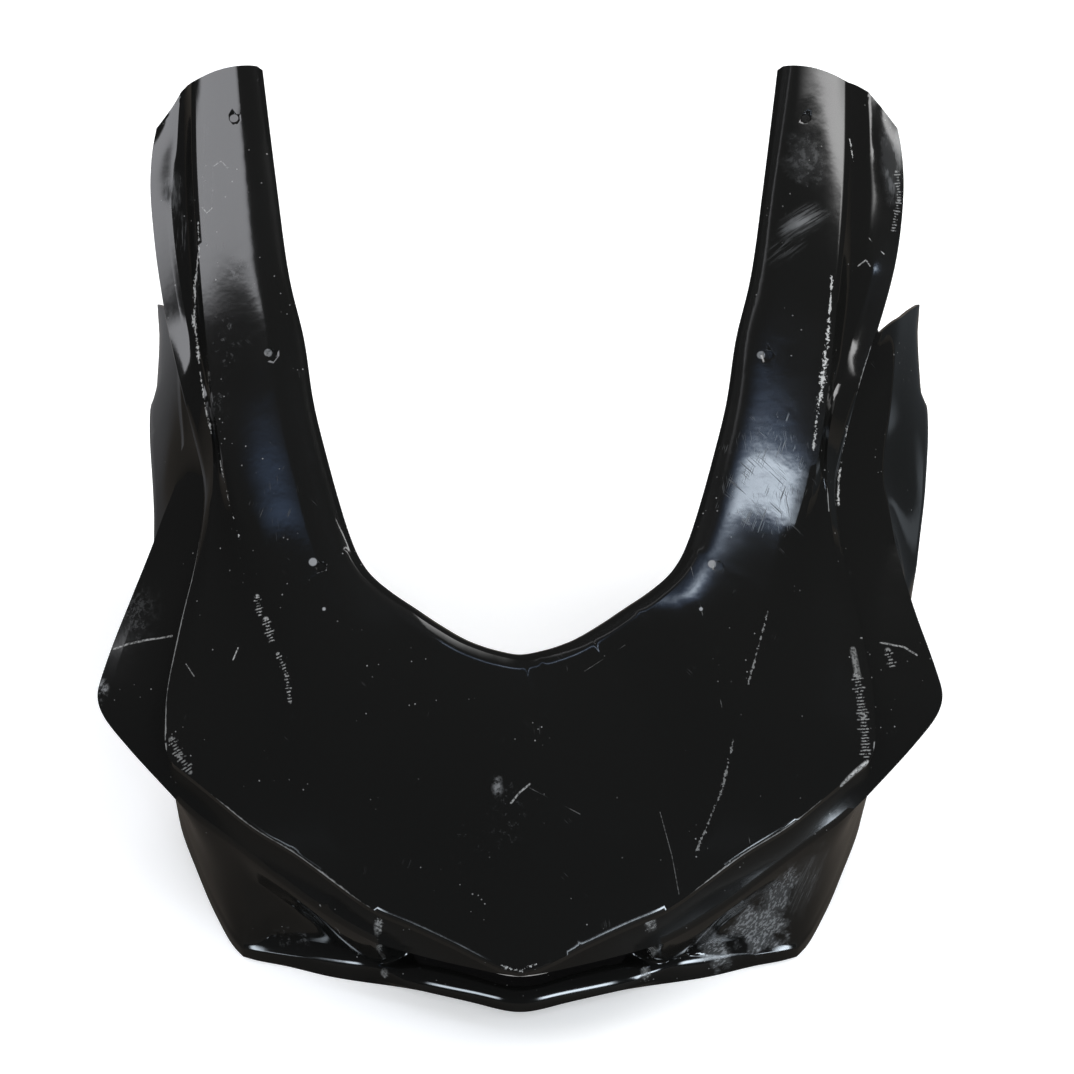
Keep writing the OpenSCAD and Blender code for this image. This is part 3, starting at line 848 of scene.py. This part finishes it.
@dataclass
class FairingShell:
    """The laminate: gelcoat outside, bare inside, with round screen marks."""

    view: PhotoView
    sharp_angle: float = math.radians(24.0)
    fold_angle: float = math.radians(50.0)
    levels: int = 2
    worn_angle: float = math.radians(40.0)
    worn_along: float = 0.75
    worn_facing: float = 0.35
    wear_reach: float = 1.4 * MM
    wear_steps: int = 40
    mark_clear: float = 0.5 * MM
    mark_rise: float = 1.0 * MM
    mark_taper: tuple[float, float] = (0.86, 1.1)
    thickest: float = 6.0 * MM
    scrap_faces: int = 60
    chin: tuple[float, float, float] = (0.085, -0.195, 0.026)
    chin_round: float = 7.5 * MM
    chin_steps: int = 30
    inner_point: tuple[float, float, float] = (0.0, 0.02, 0.06)
    zone_bands: tuple[str, ...] = ("nose", "brow", "shoulder", "arm")
    zone_cuts: tuple[float, ...] = (-0.155, -0.025, 0.10)

    def build(self) -> bpy.types.Object:
        """Builds the shell in place of the CAD node.

        Returns:
            The finished object.
        """
        grid = self._grid()
        shell = self._subdivided(grid)
        self._carve_marks(shell)
        for polygon in shell.data.polygons:
            polygon.use_smooth = True
        shell.data.set_sharp_from_angle(angle=self.sharp_angle)
        places = [vert.co for vert in shell.data.vertices]
        skin = BVHTree.FromPolygons(places, [polygon.vertices for polygon in shell.data.polygons])
        self._crown(shell, skin)
        self._wear(shell, skin)
        self._dress(shell, skin)
        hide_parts(NODE)
        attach(shell, BODY)
        shell.data.calc_loop_triangles()
        LOG.info("fairing_shell: %d triangles", len(shell.data.loop_triangles))
        return shell

    def _grid(self) -> bmesh.types.BMesh:
        """Merges a copy of the CAD mesh into the quads it was drawn in, without its round marks."""
        mesh = bmesh.new()
        mesh.from_mesh(frame["nodes"][NODE].data)
        bmesh.ops.remove_doubles(mesh, verts=mesh.verts, dist=0.02 * MM)
        self._fill_marks(mesh)
        bmesh.ops.join_triangles(
            mesh,
            faces=mesh.faces,
            cmp_seam=False,
            cmp_sharp=False,
            cmp_uvs=False,
            cmp_vcols=False,
            cmp_materials=False,
            angle_face_threshold=math.radians(60.0),
            angle_shape_threshold=math.radians(80.0),
        )
        self._sort_skins(mesh)
        return mesh

    def _fill_marks(self, mesh: bmesh.types.BMesh) -> None:
        """Takes the round marks out of the grid and closes the skin over them."""
        for mount in frame["record"]["mounts"]:
            if mount["kind"] != "bore":
                continue
            centre, axis = Vector(mount["pos_m"]), Vector(mount["axis"]).normalized()
            radius = mount["dims"]["r_mm"] * MM + self.mark_clear
            deep = mount["dims"]["length_mm"] * MM
            inside = []
            for vert in mesh.verts:
                offset = vert.co - centre
                height = offset.dot(axis)
                if (offset - axis * height).length < radius and -deep - 0.2 * MM < height < 3 * MM:
                    inside.append(vert)
            bmesh.ops.delete(mesh, geom=inside, context="VERTS")
            rim = [edge for edge in mesh.edges if edge.is_boundary]
            bmesh.ops.holes_fill(mesh, edges=rim, sides=0)
            filled = [face for face in mesh.faces if len(face.verts) > 4]
            bmesh.ops.triangulate(mesh, faces=filled)

    def _sort_skins(self, mesh: bmesh.types.BMesh) -> None:
        """Gives each smooth run of faces to the gelcoat or the laminate, and the trimmed rim to gelcoat."""
        mesh.normal_update()
        mesh.faces.ensure_lookup_table()
        heart = Vector(self.inner_point)
        solid = BVHTree.FromBMesh(mesh)
        seen: set[int] = set()
        scraps: list[bmesh.types.BMFace] = []
        for face in mesh.faces:
            place = face.calc_center_median() - face.normal * (0.1 * MM)
            if solid.ray_cast(place, -face.normal, self.thickest)[0] is None:
                face.material_index = Skin.GELCOAT.value
                seen.add(face.index)
        for seed in mesh.faces:
            if seed.index in seen:
                continue
            run, queue = [], [seed]
            seen.add(seed.index)
            while queue:
                face = queue.pop()
                run.append(face)
                for edge in face.edges:
                    if len(edge.link_faces) != 2 or edge.calc_face_angle(0.0) > self.fold_angle:
                        continue
                    for other in edge.link_faces:
                        if other.index not in seen:
                            seen.add(other.index)
                            queue.append(other)
            vote = sum(face.calc_area() * face.normal.dot(face.calc_center_median() - heart) for face in run)
            kind = Skin.GELCOAT if vote > 0 else Skin.LAMINATE
            for face in run:
                face.material_index = kind.value
            if len(run) <= self.scrap_faces:
                scraps += run
        self._join_scraps(scraps)

    def _join_scraps(self, scraps: list[bmesh.types.BMFace]) -> None:
        """Gives faces of very small runs the side of the neighbour that they turn least from."""
        loose = set(scraps)
        while loose:
            borders = []
            for face in loose:
                for edge in face.edges:
                    turn = edge.calc_face_angle(0.0)
                    for other in edge.link_faces:
                        if other not in loose and len(edge.link_faces) == 2:
                            borders.append((turn, face.index, face, other.material_index))
            if not borders:
                return
            _turn, _index, face, side = min(borders, key=lambda border: border[:2])
            face.material_index = side
            loose.discard(face)

    def _subdivided(self, grid: bmesh.types.BMesh) -> bpy.types.Object:
        """Creases the sharp edges of the grid and subdivides it."""
        crease = grid.edges.layers.float.new("crease_edge")
        for edge in grid.edges:
            if edge.is_boundary or edge.calc_face_angle(0.0) > self.sharp_angle:
                edge[crease] = 1.0
        data = bpy.data.meshes.new("fairing_shell")
        grid.to_mesh(data)
        grid.free()
        for side in Skin:
            data.materials.append(bpy.data.materials.new(side.name.lower()))
        shell = bpy.data.objects.new("fairing_shell", data)
        bpy.context.scene.collection.objects.link(shell)
        smooth = shell.modifiers.new("smooth", "SUBSURF")
        smooth.levels = self.levels
        smooth.render_levels = self.levels
        self._apply(shell)
        self._round_chin(shell)
        return shell

    def _round_chin(self, shell: bpy.types.Object) -> None:
        """Rounds the outward fold of the bar under the intake."""
        mesh = bmesh.new()
        mesh.from_mesh(shell.data)
        fold = [edge for edge in mesh.edges if self._on_chin(edge)]
        near = self._tree([vert.co for edge in fold for vert in edge.verts])
        gloss = [face for face in mesh.faces if face.material_index == Skin.GELCOAT.value]
        outer = {vert for face in gloss for vert in face.verts}
        soft = [vert for vert in outer if near.find(vert.co)[2] < self.chin_round]
        axes = {f"use_axis_{axis}": True for axis in "xyz"}
        for _step in range(self.chin_steps):
            bmesh.ops.smooth_vert(mesh, verts=soft, factor=0.5, **axes)
        mesh.to_mesh(shell.data)
        mesh.free()
        LOG.info("chin: %d fold edges, %d points rounded", len(fold), len(soft))

    def _on_chin(self, edge: bmesh.types.BMEdge) -> bool:
        """Says whether an edge is an outward fold of the bar under the intake."""
        middle = (edge.verts[0].co + edge.verts[1].co) / 2
        if not self._is_outer_fold(edge):
            return False
        return abs(middle.x) < self.chin[0] and middle.y < self.chin[1] and middle.z < self.chin[2]

    def _crown(self, shell: bpy.types.Object, skin: BVHTree) -> None:
        """Swells the skin by a hair's breadth round each crown, as a hand-laid laminate is."""
        for crown in CROWNS:
            middle, normal, _index, _far = skin.ray_cast(self.view.eye(), self.view.ray(crown.middle))
            for vert in shell.data.vertices:
                share = (vert.co - middle).length_squared / (2 * (crown.reach_mm * MM) ** 2)
                if share < 8.0:
                    vert.co += normal * (crown.height_mm * MM * math.exp(-share))

    def _carve_marks(self, shell: bpy.types.Object) -> None:
        """Sinks the six round screen marks into the smooth skin."""
        cutter_mesh = bmesh.new()
        for mount in frame["record"]["mounts"]:
            if mount["kind"] != "bore":
                continue
            axis = Vector(mount["axis"]).normalized()
            depth = mount["dims"]["length_mm"] * MM
            radius = mount["dims"]["r_mm"] * MM
            turn = axis.to_track_quat("Z", "Y").to_matrix().to_4x4()
            place = Matrix.Translation(Vector(mount["pos_m"]) + axis * self.mark_rise) @ turn
            bmesh.ops.create_cone(
                cutter_mesh,
                cap_ends=True,
                segments=32,
                radius1=radius * self.mark_taper[0],
                radius2=radius * self.mark_taper[1],
                depth=depth + self.mark_rise * 2,
                matrix=place,
            )
        data = bpy.data.meshes.new("mark_cutter")
        cutter_mesh.to_mesh(data)
        cutter_mesh.free()
        cutter = bpy.data.objects.new("mark_cutter", data)
        bpy.context.scene.collection.objects.link(cutter)
        carve = shell.modifiers.new("marks", "BOOLEAN")
        carve.operation = "DIFFERENCE"
        carve.solver = "EXACT"
        carve.object = cutter
        self._apply(shell)
        bpy.data.objects.remove(cutter)

    def _wear(self, shell: bpy.types.Object, skin: BVHTree) -> None:
        """Keeps how worn each point is, for the edge wear."""
        mesh = bmesh.new()
        mesh.from_mesh(shell.data)
        sharp = [edge for edge in mesh.edges if self._is_outer_fold(edge)]
        folds = [tuple(vert.co.copy() for vert in edge.verts) for edge in sharp]
        mesh.free()
        worn: list[tuple[Vector, float]] = []
        for line in WORN_EDGES:
            points = [hit for hit in (cast(self.view, skin, pixel) for pixel in line.path) if hit]
            LOG.info("worn edge %s on %d points", line.name, len(points))
            steps = []
            for start, end in zip(points, points[1:]):
                run = (end - start).normalized()
                shares = [step / self.wear_steps for step in range(self.wear_steps + 1)]
                steps += [(start.lerp(end, share), run) for share in shares]
            near = self._tree([place for place, _run in steps])
            for ends in folds:
                _place, index, far = near.find((ends[0] + ends[1]) / 2)
                along = abs((ends[1] - ends[0]).normalized().dot(steps[index][1]))
                share = 1.0 - (far / (line.near_mm * MM)) ** 2
                if share > 0.0 and along > self.worn_along:
                    worn += [(place, line.strength * share) for place in ends]
        tree = self._tree([place for place, _strength in worn])
        values = []
        for vert in shell.data.vertices:
            _place, index, far = tree.find(vert.co)
            values.append(worn[index][1] * max(0.0, 1.0 - far / self.wear_reach))
        layer = shell.data.attributes.new("edge_wear", "FLOAT", "POINT")
        layer.data.foreach_set("value", values)

    def _dress(self, shell: bpy.types.Object, skin: BVHTree) -> None:
        """Gives each zone of the gelcoat its material, and the bare laminate its own."""
        mesh = shell.data
        names = [(side, band) for side in ("left", "right") for band in self.zone_bands]
        numbers, places = [], [set() for _name in names]
        for polygon in mesh.polygons:
            if polygon.material_index == Skin.LAMINATE.value:
                numbers.append(len(names))
                continue
            band = self.zone_bands[bisect(self.zone_cuts, polygon.center.y)]
            numbers.append(names.index(("right" if polygon.center.x > 0.0 else "left", band)))
            places[numbers[-1]].update(polygon.vertices)
        mesh.materials.clear()
        for side in Skin:
            bpy.data.materials.remove(bpy.data.materials[side.name.lower()])
        for name, inside in zip(names, places):
            points = self._tree([mesh.vertices[index].co for index in inside])
            mesh.materials.append(Gelcoat().build(Zone("_".join(name), self.view, skin, points)))
            LOG.info("gelcoat %s on %d faces", "_".join(name), numbers.count(names.index(name)))
        mesh.materials.append(BareLaminate().build())
        LOG.info("bare laminate on %d faces", numbers.count(len(names)))
        mesh.polygons.foreach_set("material_index", numbers)

    @staticmethod
    def _tree(places: list[Vector]) -> KDTree:
        """Puts places in a tree that finds the nearest one."""
        tree = KDTree(len(places))
        for index, place in enumerate(places):
            tree.insert(place, index)
        tree.balance()
        return tree

    def _is_outer_fold(self, edge: bmesh.types.BMEdge) -> bool:
        """Says whether an edge is a sharp outward fold that faces up on one side."""
        if len(edge.link_faces) != 2 or edge.calc_face_angle_signed(0.0) < self.worn_angle:
            return False
        gloss = [face for face in edge.link_faces if face.material_index == Skin.GELCOAT.value]
        return any(face.normal.z > self.worn_facing for face in gloss)

    @staticmethod
    def _apply(shell: bpy.types.Object) -> None:
        """Applies the shell's modifiers to its mesh."""
        graph = bpy.context.evaluated_depsgraph_get()
        graph.update()
        done = bpy.data.meshes.new_from_object(shell.evaluated_get(graph), depsgraph=graph)
        shell.modifiers.clear()
        old = shell.data
        shell.data = done
        bpy.data.meshes.remove(old)


COOL: Colour = (0.8, 0.9, 1.0)
BLUE: Colour = (0.38, 0.58, 1.0)
GREY: Colour = (0.94, 0.95, 1.0)
CEILING = 1.8
RIGHT_TURN = (0.0, 0.0, math.radians(-11.5))
LEFT_TURN = (0.0, 0.0, math.radians(11.5))
RIGHT_CHIN_TURN = (math.radians(75.0), 0.0, math.radians(27.0))
LEFT_CHIN_TURN = (math.radians(75.0), 0.0, math.radians(-27.0))
LEDGE_TURN = (math.radians(82.0), 0.0, math.radians(40.5))

LIGHTS: tuple[Window, ...] = (
    Window("left_skylight", (-0.95, 0.21, CEILING), (0.72, 0.35), (0.08, 0.02), 5.4, GREY),
    Window("right_skylight", (1.15, 0.46, CEILING), (0.7, 0.385), (0.4, 0.03), 8.5),
    Window("right_window", (0.66, -0.383, CEILING), (0.6, 0.013), (0.13, 0.026), 30.0, COOL, RIGHT_TURN),
    Window("right_glow", (0.62, -0.37, CEILING + 0.01), (0.64, 0.055), (0.14, 0.055), 2.6, BLUE, RIGHT_TURN),
    Window("left_glow", (-0.62, -0.385, CEILING), (0.34, 0.03), (0.3, 0.05), 1.8, BLUE, LEFT_TURN),
    Window("chin_right_window", (0.9, -1.95, 0.52), (0.16, 0.22), (0.1, 0.1), 26.0, COOL, RIGHT_CHIN_TURN),
    Window("chin_left_window", (-0.9, -1.95, 0.52), (0.13, 0.2), (0.1, 0.1), 17.0, COOL, LEFT_CHIN_TURN),
    Window("ledge_window", (1.38, -1.68, 0.32), (0.09, 0.18), (0.05, 0.1), 26.0, COOL, LEDGE_TURN),
    Window("left_card", (-0.5, 0.32, 0.004), (0.2, 0.16), (0.12, 0.08), 0.24, GREY),
    Window("right_card", (0.85, 0.25, 0.002), (0.5, 0.45), (0.05, 0.05), 0.08, COOL),
    Window("right_strip", (0.6, 0.2, 0.004), (0.05, 0.09), (0.03, 0.03), 0.4, COOL),
)


@dataclass(frozen=True)
class Flag:
    """A dim upright sheet between the two skylights that keeps each to its own side of the part.

    Only reflections see it. Lengths are in metres: X and Z of its lower and upper edge, and its Y span.
    """

    name: str
    low: tuple[float, float]
    high: tuple[float, float]
    span: tuple[float, float]
    tone: Colour = (0.045, 0.045, 0.048)

    def build(self) -> bpy.types.Object:
        """Builds the sheet and returns it."""
        mesh = bmesh.new()
        low = [mesh.verts.new((self.low[0], y, self.low[1])) for y in self.span]
        mesh.edges.new(low)
        risen = bmesh.ops.extrude_edge_only(mesh, edges=mesh.edges[:])["geom"]
        up = Vector((self.high[0] - self.low[0], 0.0, self.high[1] - self.low[1]))
        tops = [item for item in risen if isinstance(item, bmesh.types.BMVert)]
        bmesh.ops.translate(mesh, verts=tops, vec=up)
        data = bpy.data.meshes.new(self.name)
        mesh.to_mesh(data)
        mesh.free()
        flag = bpy.data.objects.new(self.name, data)
        for ray in ("camera", "diffuse", "shadow", "transmission"):
            setattr(flag, f"visible_{ray}", False)
        bpy.context.scene.collection.objects.link(flag)
        material = bpy.data.materials.new(self.name)
        material.use_nodes = True
        shader = material.node_tree.nodes["Principled BSDF"]
        shader.inputs["Base Color"].default_value = (0.0, 0.0, 0.0, 1.0)
        shader.inputs["Specular IOR Level"].default_value = 0.0
        shader.inputs["Emission Color"].default_value = (*self.tone, 1.0)
        shader.inputs["Emission Strength"].default_value = 1.0
        data.materials.append(material)
        return flag


FLAGS: tuple[Flag, ...] = (
    Flag("upper_flag", (-0.10, 0.40), (-0.22, CEILING), (-0.7, 0.8)),
    Flag("lower_flag", (-0.02, 0.01), (-0.10, 0.42), (-0.015, 0.8)),
    Flag("front_flag", (-0.05, 0.25), (-0.10, 0.42), (-0.3, -0.015)),
)


@dataclass
class Studio:
    """A plain pale floor, a dim room and soft lamps."""

    floor_size: float = 8.0
    floor_colour: Colour = (0.12, 0.104, 0.088)
    seen_floor: Colour = (0.96, 0.96, 0.96)
    glow: float = 0.3
    room: Colour = (0.045, 0.045, 0.048)
    fill: float = 0.5

    def build(self) -> None:
        """Builds the floor, the world and the lamps."""
        self._floor()
        self._world()
        for light in LIGHTS:
            light.build()
            LOG.info("light %s", light.name)
        for flag in FLAGS:
            flag.build()

    def _floor(self) -> None:
        """Builds the floor on the level of the fairing's lower edge."""
        mesh = bmesh.new()
        bmesh.ops.create_grid(mesh, x_segments=1, y_segments=1, size=self.floor_size / 2)
        bmesh.ops.translate(mesh, verts=mesh.verts, vec=(0.0, 0.0, CAD_BOX[0][2] - 0.1 * MM))
        data = bpy.data.meshes.new("floor")
        mesh.to_mesh(data)
        mesh.free()
        floor = bpy.data.objects.new("floor", data)
        bpy.context.scene.collection.objects.link(floor)
        material = bpy.data.materials.new("pale_floor")
        material.use_nodes = True
        graph = Graph(material.node_tree)
        shader = material.node_tree.nodes["Principled BSDF"]
        seen = graph.add("ShaderNodeLightPath").outputs["Is Camera Ray"]
        graph.feed(shader.inputs["Base Color"], graph.blend(seen, self.floor_colour, self.seen_floor))
        graph.feed(shader.inputs["Emission Color"], graph.blend(seen, (0.0, 0.0, 0.0), (1.0, 1.0, 1.0)))
        shader.inputs["Emission Strength"].default_value = self.glow
        shader.inputs["Roughness"].default_value = 0.9
        shader.inputs["Specular IOR Level"].default_value = 0.1
        data.materials.append(material)

    def _world(self) -> None:
        """Builds the room: white to the camera, dim in reflections."""
        world = bpy.data.worlds.new("room")
        bpy.context.scene.world = world
        world.use_nodes = True
        graph = Graph(world.node_tree)
        background = world.node_tree.nodes["Background"]
        path = graph.add("ShaderNodeLightPath")
        tone = graph.blend(path.outputs["Is Glossy Ray"], (self.fill, self.fill, self.fill), self.room)
        tone = graph.blend(path.outputs["Is Camera Ray"], tone, (1.0, 1.0, 1.0))
        graph.feed(background.inputs["Color"], tone)
        background.inputs["Strength"].default_value = 1.0


def main() -> None:
    """Builds the camera, the studio and the fairing."""
    logging.basicConfig(level=logging.INFO, format="%(name)s: %(message)s")
    bpy.context.scene.view_settings.view_transform = "Standard"
    view = PhotoView()
    view.build()
    Studio().build()
    FairingShell(view).build()


if __name__ == "__main__":
    main()
